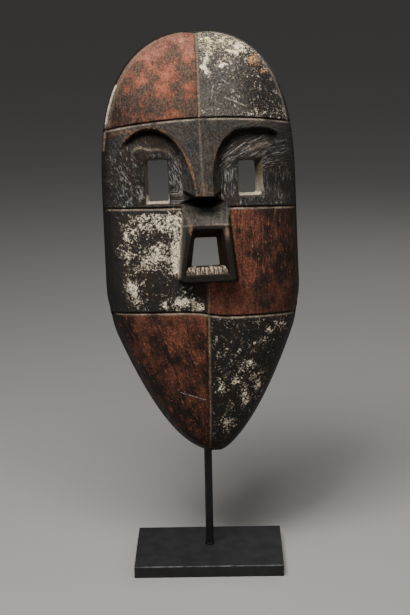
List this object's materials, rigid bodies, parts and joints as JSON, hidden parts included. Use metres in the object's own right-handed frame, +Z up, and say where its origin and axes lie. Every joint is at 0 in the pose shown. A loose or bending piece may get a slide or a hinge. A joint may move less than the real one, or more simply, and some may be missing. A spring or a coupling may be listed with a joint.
{
  "type": "carved mask on stand",
  "caption": "Tall oval carved wood face mask in painted fields, hollow behind, with brow, nose, eye holes and box mouth, upright on a steel post and flat base.",
  "frame": {"origin": "centre of the base plate's underside, on the surface it stands on", "axes": "+Z up, the mask faces -Y, +X to the viewer's right"},
  "size_m": [0.196, 0.1264, 0.5318],
  "materials": {
    "wood": "worn earth pigments in red, white and black on dark carved wood",
    "steel": "satin black"
  },
  "bodies": {
    "root": {"mask": "wood", "post": "steel", "base": "steel"}
  },
  "joints": []
}
